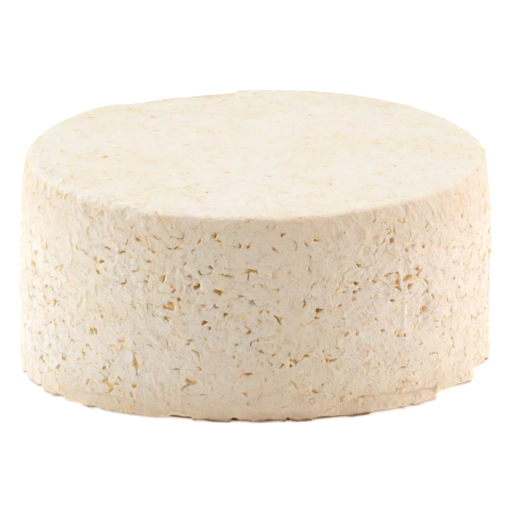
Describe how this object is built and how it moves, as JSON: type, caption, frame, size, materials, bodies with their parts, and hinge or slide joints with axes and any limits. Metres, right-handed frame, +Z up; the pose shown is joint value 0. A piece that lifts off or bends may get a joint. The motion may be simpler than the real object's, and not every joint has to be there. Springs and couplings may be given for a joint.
{
  "type": "cheese wheel",
  "caption": "Whole wheel of fresh white pressed cheese: a low drum with a flat base, crumbly pitted sides, a smooth top and a softly rounded edge.",
  "frame": {"origin": "on the surface that the wheel rests on, under the middle of the wheel", "axes": "+Z up, along the wheel's own axis; -Y towards the front, where the top face is lowest; +X to the right seen from the front"},
  "size_m": [0.1994, 0.1984, 0.0946],
  "materials": {
    "cheese": "matt, moist ivory curd with golden openings"
  },
  "bodies": {
    "root": {"cheese_wheel": "cheese"}
  },
  "joints": []
}
